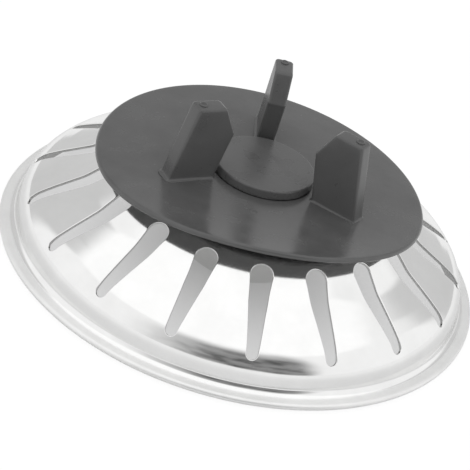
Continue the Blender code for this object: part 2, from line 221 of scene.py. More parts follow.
# Finishes: dark tone, pale tone, least roughness, greatest roughness, strength of the relief
BOWL_STEEL = ((0.84, 0.84, 0.835), (0.90, 0.90, 0.895), 0.07, 0.13, 0.25)
KNOB_STEEL = ((0.80, 0.80, 0.79), (0.87, 0.87, 0.86), 0.12, 0.22, 0.1)
STEM_METAL = ((0.62, 0.62, 0.61), (0.72, 0.72, 0.71), 0.2, 0.34, 0.05)
INSERT_METAL = ((0.62, 0.44, 0.20), (0.72, 0.53, 0.26), 0.22, 0.36, 0.05)
DISC_MOULDING = ((0.076, 0.076, 0.076), (0.094, 0.094, 0.094), 0.17, 0.30, 0.05)
BOSS_MOULDING = ((0.080, 0.080, 0.080), (0.097, 0.097, 0.097), 0.24, 0.34, 0.06)
FINGER_MOULDING = ((0.076, 0.076, 0.076), (0.088, 0.088, 0.088), 0.26, 0.38, 0.08)
GASKET_MOULDING = ((0.020, 0.020, 0.020), (0.032, 0.032, 0.032), 0.55, 0.70, 0.2)
CORE_MOULDING = ((0.018, 0.018, 0.018), (0.028, 0.028, 0.028), 0.40, 0.55, 0.12)
MOULDING_IOR = 1.5

# The bowl's polish turns duller on the lip: where that starts and ends, and how rough it gets
DULL_RIM = (0.0379, 0.0386, 0.5)

# Noise in the finishes: scale, detail and roughness of each, and how the bumps follow it
RING_SCALE = 9000
RING_TURN_SCALE = 3
RINGS = (1, 3, 0.5)
SMEARS = (160, 5, 0.6)
SWELL = (70, 2, 0.5)
CLOUDS = (220, 4, 0.55)
GRAIN = (5200, 2, 0.5)
WAVES = (130, 2, 0.5)
NOISE_LOW = 0.3
NOISE_HIGH = 0.7
SWELL_DEPTH = 0.0004
WAVE_STRENGTH = 0.12
WAVE_DEPTH = 0.0003
RING_STRENGTH = 0.02
FINE_DEPTH = 0.00002

# Camera of the photograph
IMAGE_WIDTH = 470
FOCAL_PIXELS = 1731.808
SENSOR_WIDTH_MM = 36
CAMERA_PLACE = Vector((0, -0.24251295, 0.15535371))
CAMERA_AIM = Vector((-0.00134649, -0.00089274, 0.00421516))
CAMERA_ROLL = math.radians(16.493447)
CAMERA_CLIP_START = 0.01

# Light: white overhead and at the sides, a grey wall behind, a dim room behind the camera.
# The room is where two spans meet, each given by its middle, its reach and its soft edge.
TOP_LIGHT = 1.13
TOP_START = math.radians(50)
TOP_EDGE = math.radians(3)
SIDE_LIGHT = 1.0
BACK_LIGHT = 0.65
BACK_ANGLE = math.radians(97)
BACK_REACH = math.radians(59)
BACK_EDGE = math.radians(6)
ROOM_TONE = 0.06
ROOM_LEFT = (math.radians(330), math.radians(76), math.radians(32))
ROOM_RIGHT = (math.radians(230), math.radians(89), math.radians(8))
ROOM_TOP = math.radians(47)
ROOM_TOP_EDGE = math.radians(13)
ROOM_FOOT_EDGE = math.radians(3)
ROOM_CLOUD_SCALE = 5
ROOM_CLOUD = 0.25
ROOM_CLOUD_LOW = 0.35
ROOM_CLOUD_HIGH = 0.65
LEAST_LEVEL = 0.000001

# Floor: how much of its glow the eye and the reflections get, less under the bowl. The glow is
# painted light and shade: graded under the bowl, darker towards the middle, and dimmed round the
# rim in reflections as painted shade
FLOOR_REACH = 6
FLOOR_COLOUR = (0.80, 0.80, 0.80)
FLOOR_GLOW = 1.06
FLOOR_SIGHT_SHARE = 0.85
FLOOR_MIRROR_SHARE = 0.55
PAINTED_UNDER_BOWL_SIGHT_START = 0.15
PAINTED_UNDER_BOWL_SIGHT_SHARE = 0.52
PAINTED_UNDER_BOWL_MIRROR_SHARE = 0.18
PAINTED_SHADE_MIRROR_END = 2 * RIM_RADIUS

# Corners of the bowl and places along the axis, which follow from the sizes above
WALL_RADIUS = RIM_RADIUS - FLANGE_WIDTH
STEP_RADIUS = FLOOR_RADIUS + STEP_WIDTH
STEP_HEIGHT = FLOOR_HEIGHT - STEP_DROP
DOME_RADIUS = STEP_RADIUS + DOME_WIDTH_SHARE * (WALL_RADIUS - STEP_RADIUS)
DOME_HEIGHT = STEP_HEIGHT - DOME_DROP_SHARE * (STEP_HEIGHT - SHOULDER_HEIGHT)
SLOT_INNER_RADIUS = FLOOR_RADIUS + SLOT_FLOOR_MARGIN
SLOT_INNER_HEIGHT = FLOOR_HEIGHT - SLOT_FLOOR_DROP
SLOT_OUTER_RADIUS = WALL_RADIUS - SLOT_WALL_MARGIN
SLOT_OUTER_HEIGHT = SHOULDER_HEIGHT - SLOT_WALL_DROP
FLOOR_UNDERSIDE = FLOOR_HEIGHT - SHEET
DISC_UNDERSIDE = FLOOR_HEIGHT + GAP
DISC_TOP = DISC_UNDERSIDE + DISC_THICKNESS
HUB_TOP = DISC_TOP + HUB_RISE
HUB_FLANGE_BOTTOM = DISC_TOP - DISC_RECESS + GAP
HUB_SHELF_TOP = DISC_UNDERSIDE + HUB_SHELF_THICKNESS
INSERT_TOP = HUB_SHELF_TOP + GAP + INSERT_FLANGE_THICKNESS
GASKET_TOP = FLOOR_UNDERSIDE - GAP
WASHER_TOP = GASKET_TOP - GASKET_THICKNESS - GAP
COLLAR_TOP = WASHER_TOP - WASHER_THICKNESS - GAP
COLLAR_BOTTOM = COLLAR_TOP - STEM_COLLAR_THICKNESS
CORE_TOP = COLLAR_BOTTOM - GAP
CORE_BOTTOM = KNOB_CLEAR_HEIGHT + KNOB_CAP_SHEET + GAP
CORE_CAVITY_BOTTOM = CORE_BOTTOM + KNOB_CORE_FLOOR
STEM_BOTTOM = CORE_CAVITY_BOTTOM + GAP
STEM_HEAD_TOP = STEM_BOTTOM + STEM_HEAD_THICKNESS


def polar(radius, angle, height):
    return Vector((radius * math.cos(angle), radius * math.sin(angle), height))


def finished(name, shape, material):
    """Merge doubles, face the shape outwards and put it in the scene, shaded smooth."""
    bmesh.ops.remove_doubles(shape, verts=shape.verts, dist=MERGE_DISTANCE)
    bmesh.ops.recalc_face_normals(shape, faces=shape.faces)
    mesh = bpy.data.meshes.new(name)
    shape.to_mesh(mesh)
    shape.free()
    mesh.shade_smooth()
    mesh.materials.append(material)
    item = bpy.data.objects.new(name, mesh)
    bpy.context.scene.collection.objects.link(item)
    return item


def corner_turns(places):
    turns = [0]
    for before, place, after in zip(places, places[1:], places[2:]):
        turns.append((place - before).angle_signed(after - place))
    return turns + [0]


def rounded(corners, arc_step):
    """Walk a path of (radius, height, bend) corners. Returns (point, left normal) pairs."""
    places = [Vector(corner[:2]) for corner in corners]
    turns = corner_turns(places)
    walk = []
    for index, place in enumerate(places):
        before = (place - places[index - 1]).normalized() if index > 0 else None
        after = (places[index + 1] - place).normalized() if index + 1 < len(places) else None
        bend = corners[index][2]
        if before is None or after is None or bend == 0:
            for heading in (before, after):
                if heading is not None:
                    walk.append((place, heading.orthogonal()))
            continue
        turn = turns[index]
        start = place - before * bend * math.tan(abs(turn) / 2)
        centre = start - before.orthogonal() * math.copysign(bend, turn)
        segments = max(1, math.ceil(abs(turn) / arc_step))
        for step in range(segments + 1):
            swing = Matrix.Rotation(-turn * step / segments, 2)
            walk.append((centre + swing @ (start - centre), swing @ before.orthogonal()))
    return walk


def without_doubles(points):
    kept = []
    for point in points:
        if not kept or (point - kept[-1]).length > MICRON:
            kept.append(point)
    return kept


def outline(corners):
    """Points alone of a rounded path."""
    return without_doubles([point for point, _ in rounded(corners, ARC_STEP)])


class Section:
    """A rounded path that is read by the length walked along it."""

    def __init__(self, walk):
        self.walk = walk
        self.lengths = [0]
        for (start, _), (end, _) in zip(walk, walk[1:]):
            self.lengths.append(self.lengths[-1] + (end - start).length)
        self.total = self.lengths[-1]

    def at(self, length):
        """Point and left normal at a length."""
        length = min(max(length, 0), self.total)
        index = 0
        while index + 2 < len(self.lengths) and self.lengths[index + 1] < length:
            index += 1
        run = self.lengths[index + 1] - self.lengths[index]
        share = (length - self.lengths[index]) / run if run > 0 else 0
        point = self.walk[index][0].lerp(self.walk[index + 1][0], share)
        normal = self.walk[index][1].lerp(self.walk[index + 1][1], share)
        return point, normal

    def rows(self, start, end):
        """Lengths from start to end, close together where the path bends."""
        marks = [start]
        while marks[-1] < end:
            here = marks[-1]
            normal = self.at(here)[1]
            reach = here
            while reach < end and reach - here < ROW_LENGTH:
                reach += ROW_SEARCH_STEP
                if abs(self.at(reach)[1].angle(normal)) > ROW_TURN:
                    break
            marks.append(min(reach, end))
        return marks

    def inverse(self, measure, value, start, end):
        """Length between start and end at which a rising measure of the point reaches a value."""
        for _ in range(HALVINGS):
            middle = (start + end) / 2
            if measure(self.at(middle)[0]) < value:
                start = middle
            else:
                end = middle
        return (start + end) / 2


def body_walk():
    """Outer face of the bowl's sheet, from the stem hole to the foot of the curled edge."""
    return rounded([
        (STEM_HOLE_RADIUS, FLOOR_HEIGHT, 0),
        (FLOOR_RADIUS, FLOOR_HEIGHT, FLOOR_BEND),
        (STEP_RADIUS, STEP_HEIGHT, STEP_BEND),
        (DOME_RADIUS, DOME_HEIGHT, DOME_BEND),
        (WALL_RADIUS, SHOULDER_HEIGHT, SHOULDER_BEND),
        (WALL_RADIUS + WALL_FLARE, SHEET, FLANGE_BEND),
        (RIM_RADIUS - LIP_FOOT_WIDTH, SHEET, 0),
    ], FINE_ARC_STEP)


def curl_walk():
    """Hidden face of the curled edge: round the lip, over the top and blended into the wall.

    Each normal points away from the visible face. Its length is the share of the sheet's thickness
    that is left there.
    """
    walk = []
    quarter = round(math.pi / 2 / FINE_ARC_STEP)
    for width, height, first in (
        (LIP_FOOT_WIDTH, LIP_HEIGHT, 0),
        (LIP_TOP_WIDTH, LIP_TOP_RISE, quarter),
    ):
        centre = Vector((RIM_RADIUS - width, LIP_HEIGHT))
        for step in range(first + 1, first + quarter + 1):
            angle = step * FINE_ARC_STEP
            face = centre + Vector((width * math.sin(angle), -height * math.cos(angle)))
            outward = Vector((math.sin(angle) / width, -math.cos(angle) / height)).normalized()
            walk.append((face - outward * SHEET, -outward))
    centre = Vector((BLEND_CENTRE_RADIUS, LIP_HEIGHT + LIP_TOP_RISE + BLEND_RADIUS))
    climb = math.pi / 2 - BLEND_END
    steps = math.ceil(climb / FINE_ARC_STEP)
    for step in range(steps + 1):
        angle = math.pi / 2 - climb * step / steps
        share = 1 - (1 - BLEND_END_SHARE) * step / steps
        outward = Vector((math.cos(angle), math.sin(angle)))
        face = centre - outward * BLEND_RADIUS
        walk.append((face - outward * SHEET * share, -outward * share))
    return walk


def slot_outline(length, grow):
    """Plan of a slot, inner tip at zero, grown by an edge round: ends as arcs, sides as lines."""
    inner = SLOT_INNER_WIDTH / 2
    outer = SLOT_OUTER_WIDTH / 2
    near = Vector((inner, 0))
    far = Vector((length - outer, 0))
    arcs = []
    for centre, radius, start in (
        (near, inner + grow, math.pi / 2),
        (far, outer + grow, -math.pi / 2),
    ):
        arc = []
        for step in range(SLOT_END_SEGMENTS + 1):
            angle = start + math.pi * step / SLOT_END_SEGMENTS
            arc.append(centre + Vector((math.cos(angle), math.sin(angle))) * radius)
        arcs.append(arc)
    points = []
    for arc, following in (arcs, arcs[::-1]):
        points += arc
        for step in range(1, SLOT_SIDE_SEGMENTS):
            points.append(arc[-1].lerp(following[0], step / SLOT_SIDE_SEGMENTS))
    return points


def field_border(start, end, half_angle):
    """Border of one slot's field as (length, angle), in step with the slot's outline."""
    corners = [(start, half_angle), (start, -half_angle), (end, -half_angle), (end, half_angle)]
    counts = (SLOT_END_SEGMENTS, SLOT_SIDE_SEGMENTS, SLOT_END_SEGMENTS, SLOT_SIDE_SEGMENTS)
    points = []
    for index, count in enumerate(counts):
        here = Vector(corners[index])
        there = Vector(corners[(index + 1) % len(corners)])
        points += [here.lerp(there, step / count) for step in range(count)]
    return points


def bridge(shape, rings):
    """Quads between neighbouring closed rings of points."""
    made = [[shape.verts.new(point) for point in ring] for ring in rings]
    for low, high in zip(made, made[1:]):
        for index in range(len(low)):
            after = (index + 1) % len(low)
            shape.faces.new((low[index], low[after], high[after], high[index]))
    return made


class Bowl:
    """Builds the bowl's sheet: plain bands, and a field of quads round each slot."""

    def __init__(self):
        self.section = Section(body_walk() + curl_walk())
        self.shape = bmesh.new()
        self.facing = self.shape.verts.layers.float_vector.new("facing")
        self.origin = Vector((SLOT_INNER_RADIUS, SLOT_INNER_HEIGHT))
        slope = Vector((
            SLOT_OUTER_RADIUS - SLOT_INNER_RADIUS,
            SLOT_OUTER_HEIGHT - SLOT_INNER_HEIGHT,
        ))
        self.slot_length = slope.length
        self.along = slope.normalized()
        columns = SLOT_COUNT * SLOT_END_SEGMENTS
        self.angles = [math.tau * (index / columns) for index in range(columns)]
        body_end = Section(body_walk()).total
        self.limit = self.section.inverse(
            lambda point: point.x, WALL_RADIUS - MICRON, 0, body_end
        )
        self.field_start = self.plan_length(-SLOT_FIELD_MARGIN)
        self.field_end = self.plan_length(self.slot_length + SLOT_FIELD_MARGIN)

    def plan_length(self, x):
        """Length along the section at a distance along the slot's slope."""
        return self.section.inverse(
            lambda point: (point - self.origin).dot(self.along), x, 0, self.limit
        )

    def place(self, length, angle, depth):
        point, normal = self.section.at(length)
        sunk = point - normal * depth
        return polar(sunk.x, angle, sunk.y)

    def skin(self, rings, depth):
        """Quads over one face of the sheet from rings of (length, angle), with its own normals."""
        placed = []
        for ring in rings:
            placed.append([self.place(length, angle, depth) for length, angle in ring])
        side = 1 if depth == 0 else -1
        for ring, corners in zip(rings, bridge(self.shape, placed)):
            for (length, angle), corner in zip(ring, corners):
                normal = self.section.at(length)[1].normalized() * side
                corner[self.facing] = polar(normal.x, angle, normal.y)

    def bands(self, start, end):
        """Both faces of a plain band all round."""
        rings = []
        for length in self.section.rows(start, end):
            rings.append([(length, angle) for angle in self.angles])
        for depth in (0, SHEET):
            self.skin(rings, depth)

    def edge(self, length):
        """Ring that closes the sheet's cut edge."""
        rings = []
        for depth in (0, SHEET):
            rings.append([self.place(length, angle, depth) for angle in self.angles])
        bridge(self.shape, rings)

    def outline_at(self, grow, turn):
        """A grown slot outline as (length, angle), turned to its own sector."""
        points = []
        for point in slot_outline(self.slot_length, grow):
            length = self.plan_length(point.x)
            radius = self.section.at(length)[0].x
            points.append(Vector((length, turn + math.asin(point.y / radius))))
        return points

    def field(self, turn):
        """Quads from the slot's edge out to the sector's border, and the slot's rounded wall."""
        border = field_border(self.field_start, self.field_end, math.pi / SLOT_COUNT)
        border = [point + Vector((0, turn)) for point in border]
        held = self.outline_at(SLOT_EDGE_ROUND + SLOT_EDGE_HOLD, turn)
        rings = []
        for share in FIELD_SHARES:
            rings.append([near.lerp(far, share) for near, far in zip(held, border)])
        for depth in (0, SHEET):
            self.skin(rings, depth)
        wall = [(SLOT_EDGE_ROUND + SLOT_EDGE_HOLD, 0)]
        for degrees in ROUND_ANGLES:
            angle = math.radians(degrees)
            grow = SLOT_EDGE_ROUND * (1 - math.sin(angle))
            wall.append((grow, SLOT_EDGE_ROUND * (1 - math.cos(angle))))
        wall += [(grow, SHEET - depth) for grow, depth in wall[::-1]]
        rings = []
        for grow, depth in wall:
            points = self.outline_at(grow, turn)
            rings.append([self.place(point.x, point.y, depth) for point in points])
        bridge(self.shape, rings)

    def build(self, material):
        """The whole sheet. Its cut edges have no normals of their own and keep the mesh's."""
        self.bands(0, self.field_start)
        self.bands(self.field_end, self.section.total)
        self.edge(0)
        self.edge(self.section.total)
        for index in range(SLOT_COUNT):
            self.field(math.tau * index / SLOT_COUNT)
        bmesh.ops.remove_doubles(self.shape, verts=self.shape.verts, dist=MERGE_DISTANCE)
        facing = [Vector(corner[self.facing]) for corner in self.shape.verts]
        bowl = finished("bowl_shell", self.shape, material)
        normals = []
        for known, corner in zip(facing, bowl.data.vertices):
            normals.append(known if known.length > KNOWN_NORMAL_LENGTH else corner.normal)
        bowl.data.normals_split_custom_set_from_vertices(normals)
        return bowl


def subdivided(points, reach):
    """Points with no run between two longer than a reach."""
    fine = [points[0]]
    for point in points[1:]:
        count = max(1, math.ceil((point - fine[-1]).length / reach))
        start = fine[-1]
        fine += [start.lerp(point, step / count) for step in range(1, count + 1)]
    return fine


def turned(name, points, material, closed, steps=TURN_STEPS):
    """Turn a half section about Z into one closed skin. Ends on the axis close with a fan."""
    shape = bmesh.new()
    angles = [math.tau * (index / steps) for index in range(steps)]
    loop = points + [points[0]] if closed else points
    rings = []
    for point in loop:
        if point.x < MICRON:
            rings.append(None)
        else:
            rings.append([polar(point.x, angle, point.y) for angle in angles])
    bridge(shape, [ring for ring in rings if ring])
    shape.verts.ensure_lookup_table()
    if rings[0] is None:
        close_fan(shape, rings[1], loop[0])
    if rings[-1] is None:
        close_fan(shape, rings[-2], loop[-1])
    return finished(name, shape, material)


def close_fan(shape, ring, tip):
    centre = shape.verts.new((0, 0, tip.y))
    corners = [shape.verts.new(point) for point in ring]
    for index, corner in enumerate(corners):
        shape.faces.new((centre, corner, corners[(index + 1) % len(corners)]))


def keep_edges(item, angle=EDGE_ANGLE):
    """Keep the shape's real corners sharp under smooth shading."""
    item.data.set_sharp_from_angle(angle=angle)
    return item


def disc_flex(point):
    """Rise of the soft disc at a place, from its clamped middle out to its lip."""
    radius = math.hypot(point.x, point.y)
    if radius <= FLEX_START_RADIUS:
        return 0
    share = ((radius - FLEX_START_RADIUS) / (DISC_RADIUS - FLEX_START_RADIUS)) ** FLEX_POWER
    angle = math.atan2(point.y, point.x)
    rise = DROOP + DROOP_SWING * math.cos(2 * (angle - DROOP_ANGLE))
    swing = (angle - LIFT_ANGLE + math.pi) % math.tau - math.pi
    reach = LIFT_REACH_BEFORE if swing < 0 else LIFT_REACH_AFTER
    if abs(swing) < reach:
        rise += LIFT * (1 + math.cos(math.pi * swing / reach)) / 2
    return rise * share


def smooth_share(value, start, end):
    share = min(max((value - start) / (end - start), 0), 1)
    return share * share * (3 - 2 * share)


def settle(item):
    """Draw in the boss's outer part and its seat in the disc, and move both forward."""
    for vertex in item.data.vertices:
        radius = math.hypot(vertex.co.x, vertex.co.y)
        share = smooth_share(radius, HUB_SLEEVE_RADIUS, HUB_RADIUS - HUB_EDGE_ROUND)
        share *= 1 - smooth_share(radius, HUB_RADIUS + GAP, HUB_RADIUS + HUB_FADE)
        vertex.co.x *= 1 - HUB_SHRINK * share
        vertex.co.y *= 1 - HUB_SHRINK * share
        vertex.co.y -= HUB_FORWARD * share
    return item


def make_disc(material):
    hole = HUB_SLEEVE_RADIUS + GAP
    seat = HUB_RADIUS + GAP
    lip_underside = DISC_TOP - DISC_LIP_THICKNESS
    section = outline([
        (hole, DISC_TOP - DISC_RECESS, 0),
        (seat, DISC_TOP - DISC_RECESS, 0),
        (seat, DISC_TOP, 0),
        (DISC_RADIUS, DISC_TOP, DISC_LIP_ROUND),
        (DISC_RADIUS, lip_underside, DISC_LIP_THICKNESS - DISC_LIP_ROUND),
        (DISC_RADIUS - DISC_LIP_REACH, DISC_UNDERSIDE, 0),
        (hole, DISC_UNDERSIDE, 0),
    ])
    disc = turned("sealing_disc", subdivided(section, ROW_LENGTH), material, True)
    for vertex in disc.data.vertices:
        vertex.co.z += disc_flex(vertex.co)
    return keep_edges(settle(disc))


def make_boss(material):
    pocket = INSERT_FLANGE_RADIUS + GAP
    throat = INSERT_NECK_RADIUS + GAP
    section = outline([
        (0, HUB_TOP - DIMPLE_DEPTH, 0),
        (DIMPLE_RADIUS - DIMPLE_SLOPE, HUB_TOP - DIMPLE_DEPTH, DIMPLE_SLOPE),
        (DIMPLE_RADIUS, HUB_TOP, DIMPLE_SLOPE),
        (HUB_RADIUS, HUB_TOP, HUB_EDGE_ROUND),
        (HUB_RADIUS, HUB_FLANGE_BOTTOM, 0),
        (HUB_SLEEVE_RADIUS, HUB_FLANGE_BOTTOM, 0),
        (HUB_SLEEVE_RADIUS, DISC_UNDERSIDE, 0),
        (throat, DISC_UNDERSIDE, 0),
        (throat, HUB_SHELF_TOP, 0),
        (pocket, HUB_SHELF_TOP, 0),
        (pocket, INSERT_TOP + GAP, 0),
        (0, INSERT_TOP + GAP, 0),
    ])
    boss = settle(turned("boss_cap", section, material, False))
    return keep_edges(boss, STEEP_EDGE_ANGLE)


def between(value, table):
    """Straight-line reading of a table of (value, result) pairs."""
    for (low, first), (high, second) in zip(table, table[1:]):
        if value <= high:
            return first + (second - first) * (value - low) / (high - low)
    return table[-1][1]


def finger_ring(height):
    """One level of a finger: its inner and outer reach, half thickness and corner round."""
    inner = between(height, [
        (-FINGER_SINK, FINGER_FOOT_INNER),
        (0, FINGER_FOOT_INNER),
        (FINGER_BARB_HEIGHT, FINGER_BARB),
        (FINGER_HEIGHT, FINGER_TIP_INNER),
    ])
    outer = between(height, [
        (-FINGER_SINK, FINGER_FOOT_OUTER),
        (0, FINGER_FOOT_OUTER),
        (FINGER_HEIGHT, FINGER_TIP_OUTER),
    ])
    grow = 0
    if height < FINGER_FOOT_FILLET:
        rest = FINGER_FOOT_FILLET - max(height, 0)
        grow = FINGER_FOOT_FILLET - math.sqrt(FINGER_FOOT_FILLET ** 2 - rest ** 2)
    top = height - (FINGER_HEIGHT - FINGER_TOP_ROUND)
    if top > 0:
        grow = math.sqrt(max(FINGER_TOP_ROUND ** 2 - top ** 2, 0)) - FINGER_TOP_ROUND
    half = FINGER_THICKNESS / 2 + grow
    return inner - grow, outer + grow, half, min(FINGER_CORNER_ROUND + grow * (grow > 0), half)


def even_steps(start, stop, count):
    return [start + (stop - start) * step / count for step in range(1, count + 1)]


def finger_levels():
    """Heights of a finger's rings: close together in the fillet, at the barb and over the top."""
    levels = [-FINGER_SINK]
    for step in range(FINGER_FILLET_STEPS + 1):
        angle = math.pi / 2 * step / FINGER_FILLET_STEPS
        levels.append(FINGER_FOOT_FILLET * (1 - math.cos(angle)))
    soft = FINGER_CORNER_ROUND / 2
    levels += even_steps(levels[-1], FINGER_BARB_HEIGHT - soft, FINGER_SIDE_STEPS)
    levels += [FINGER_BARB_HEIGHT, FINGER_BARB_HEIGHT + soft]
    stop = FINGER_HEIGHT - FINGER_TOP_ROUND
    levels += even_steps(levels[-1], stop, FINGER_SLOPE_STEPS)
    for step in range(1, FINGER_TOP_STEPS):
        angle = math.pi / 2 * step / FINGER_TOP_STEPS
        levels.append(stop + FINGER_TOP_ROUND * math.sin(angle))
    levels.append(FINGER_HEIGHT)
    return levels


def rounded_rectangle(inner, outer, half, corner):
    """Closed ring of (along, across) points round a rectangle with round corners."""
    corners = (
        (outer - corner, half - corner, 0),
        (inner + corner, half - corner, 90),
        (inner + corner, corner - half, 180),
        (outer - corner, corner - half, 270),
    )
    arcs = []
    for along, across, start in corners:
        arc = []
        for step in range(FINGER_CORNER_STEPS + 1):
            angle = math.radians(start + 90 * step / FINGER_CORNER_STEPS)
            place = (along + corner * math.cos(angle), across + corner * math.sin(angle))
            arc.append(Vector(place))
        arcs.append(arc)
    points = []
    for index, arc in enumerate(arcs):
        points += arc
        following = arcs[(index + 1) % len(arcs)][0]
        count = FINGER_LONG_STEPS if index % 2 == 0 else FINGER_SHORT_STEPS
        points += [arc[-1].lerp(following, step / count) for step in range(1, count)]
    return points


def make_finger(name, angle, material):
    """Loft through the finger's levels, closed below and above."""
    shape = bmesh.new()
    turn = Matrix.Rotation(angle, 4, "Z")
    rings = []
    for height in finger_levels():
        ring = rounded_rectangle(*finger_ring(height))
        rings.append([turn @ Vector((point.x, point.y, DISC_TOP + height)) for point in ring])
    made = bridge(shape, rings)
    for ring in (made[0], made[-1]):
        shape.faces.new(ring)
    return finished(name + "_moulding", shape, material)


def make_pip(name, place, material, size=1.0):
    """Gate mark: a tiny crater left where the moulding was cut from its runner."""
    radius = PIP_RADIUS * size
    floor = PIP_HEIGHT * PIP_FLOOR_SHARE
    bend = radius * PIP_BEND_SHARE
    section = outline([
        (0, floor, 0),
        (radius * PIP_FLOOR_EDGE_SHARE, floor, radius * PIP_FLOOR_BEND_SHARE),
        (radius * PIP_CREST_SHARE, PIP_HEIGHT, bend),
        (radius, PIP_HEIGHT * PIP_SHOULDER_SHARE, bend),
        (radius, -PIP_HEIGHT, 0),
        (0, -PIP_HEIGHT, 0),
    ])
    pip = turned(name, section, material, False, PIP_TURN_STEPS)
    pip.location = place
    return pip


def make_insert(material):
    bottom = HUB_SHELF_TOP + GAP
    section = outline([
        (STEM_HOLE_RADIUS, INSERT_TOP, 0),
        (INSERT_FLANGE_RADIUS, INSERT_TOP, 0),
        (INSERT_FLANGE_RADIUS, bottom, 0),
        (INSERT_NECK_RADIUS, bottom, 0),
        (INSERT_NECK_RADIUS, DISC_UNDERSIDE, 0),
        (STEM_HOLE_RADIUS, DISC_UNDERSIDE, 0),
    ])
    return keep_edges(turned("insert", section, material, True, SMALL_TURN_STEPS))


def make_stem(material):
    section = outline([
        (0, INSERT_TOP, 0),
        (STEM_THREAD_RADIUS - STEM_CHAMFER, INSERT_TOP, 0),
        (STEM_THREAD_RADIUS, INSERT_TOP - STEM_CHAMFER, 0),
        (STEM_THREAD_RADIUS, COLLAR_TOP, 0),
        (STEM_COLLAR_RADIUS, COLLAR_TOP, STEM_CHAMFER),
        (STEM_COLLAR_RADIUS, COLLAR_BOTTOM, STEM_CHAMFER),
        (STEM_SHANK_RADIUS, COLLAR_BOTTOM, 0),
        (STEM_SHANK_RADIUS, STEM_HEAD_TOP, 0),
        (STEM_HEAD_RADIUS, STEM_HEAD_TOP, 0),
        (STEM_HEAD_RADIUS, STEM_BOTTOM, 0),
        (0, STEM_BOTTOM, 0),
    ])
    return keep_edges(turned("turned_stem", section, material, False, SMALL_TURN_STEPS))


def make_ring(name, radius, top, thickness, edge, material):
    section = outline([
        (STEM_HOLE_RADIUS, top, 0),
        (radius, top, edge),
        (radius, top - thickness, edge),
        (STEM_HOLE_RADIUS, top - thickness, 0),
    ])
    ring = turned(name, section, material, True, SMALL_TURN_STEPS)
    return keep_edges(ring, STEEP_EDGE_ANGLE)


def make_cap(material):
    lip = KNOB_CLEAR_HEIGHT + KNOB_CAP_HEIGHT - KNOB_CAP_SHEET
    inside = KNOB_RADIUS - KNOB_CAP_SHEET
    walk = rounded([
        (0, KNOB_CLEAR_HEIGHT + KNOB_CAP_SHEET, 0),
        (KNOB_FLAT_RADIUS, KNOB_CLEAR_HEIGHT + KNOB_CAP_SHEET, KNOB_CROWN_BEND),
        (inside, KNOB_CLEAR_HEIGHT + KNOB_CAP_SHEET + KNOB_CROWN, KNOB_CAP_BEND),
        (inside, lip, KNOB_TURN_BEND),
        (inside - KNOB_TURN_IN, lip, 0),
    ], CAP_ARC_STEP)
    face = [point for point, _ in walk]
    back = [point - normal * KNOB_CAP_SHEET for point, normal in walk]
    section = without_doubles(face + back[::-1])
    return keep_edges(turned("spun_cap", section, material, False), STEEP_EDGE_ANGLE)


def make_core(material):
    side = KNOB_RADIUS - KNOB_CAP_SHEET - GAP
    shoulder = KNOB_CLEAR_HEIGHT + KNOB_CAP_HEIGHT - KNOB_CAP_SHEET - GAP
    cavity = STEM_HEAD_RADIUS + GAP
    bore = STEM_SHANK_RADIUS + GAP
    waist = side - KNOB_TURN_IN - KNOB_TURN_IN
    section = outline([
        (0, CORE_CAVITY_BOTTOM, 0),
        (cavity, CORE_CAVITY_BOTTOM, 0),
        (cavity, STEM_HEAD_TOP + GAP, 0),
        (bore, STEM_HEAD_TOP + GAP, 0),
        (bore, CORE_TOP, 0),
        (KNOB_NECK_RADIUS, CORE_TOP, KNOB_CORE_ROUND),
        (KNOB_NECK_RADIUS, shoulder + KNOB_NECK_SHARE * (CORE_TOP - shoulder), KNOB_NECK_BEND),
        (waist, shoulder, 0),
        (side, shoulder, KNOB_CORE_ROUND),
        (side, CORE_BOTTOM + KNOB_CROWN, KNOB_CAP_BEND),
        (KNOB_FLAT_RADIUS, CORE_BOTTOM, KNOB_CROWN_BEND),
        (0, CORE_BOTTOM, 0),
    ])
    core = turned("moulded_core", section, material, False, KNOB_TURN_STEPS)
    return keep_edges(core, STEEP_EDGE_ANGLE)


def worked(tree, operation, *values):
    """Math node fed by sockets or plain numbers."""
    made = tree.nodes.new("ShaderNodeMath")
    made.operation = operation
    for socket, value in zip(made.inputs, values):
        if isinstance(value, (int, float)):
            socket.default_value = value
        else:
            tree.links.new(value, socket)
    return made.outputs[0]


def eased(tree, value, start, end, low, high, interpolation="SMOOTHSTEP"):
    """Value that glides from low to high while another runs from start to end."""
    ramp = tree.nodes.new("ShaderNodeMapRange")
    ramp.interpolation_type = interpolation
    for name, number in (("From Min", start), ("From Max", end), ("To Min", low), ("To Max", high)):
        ramp.inputs[name].default_value = number
    tree.links.new(value, ramp.inputs["Value"])
    return ramp.outputs["Result"]


def axes(tree, vector):
    """The three numbers of a vector, as sockets."""
    split = tree.nodes.new("ShaderNodeSeparateXYZ")
    tree.links.new(vector, split.inputs[0])
    return split.outputs


def distance(tree, across, along):
    """Distance from the axis of a place."""
    squares = [worked(tree, "MULTIPLY", side, side) for side in (across, along)]
    return worked(tree, "SQRT", worked(tree, "ADD", *squares))


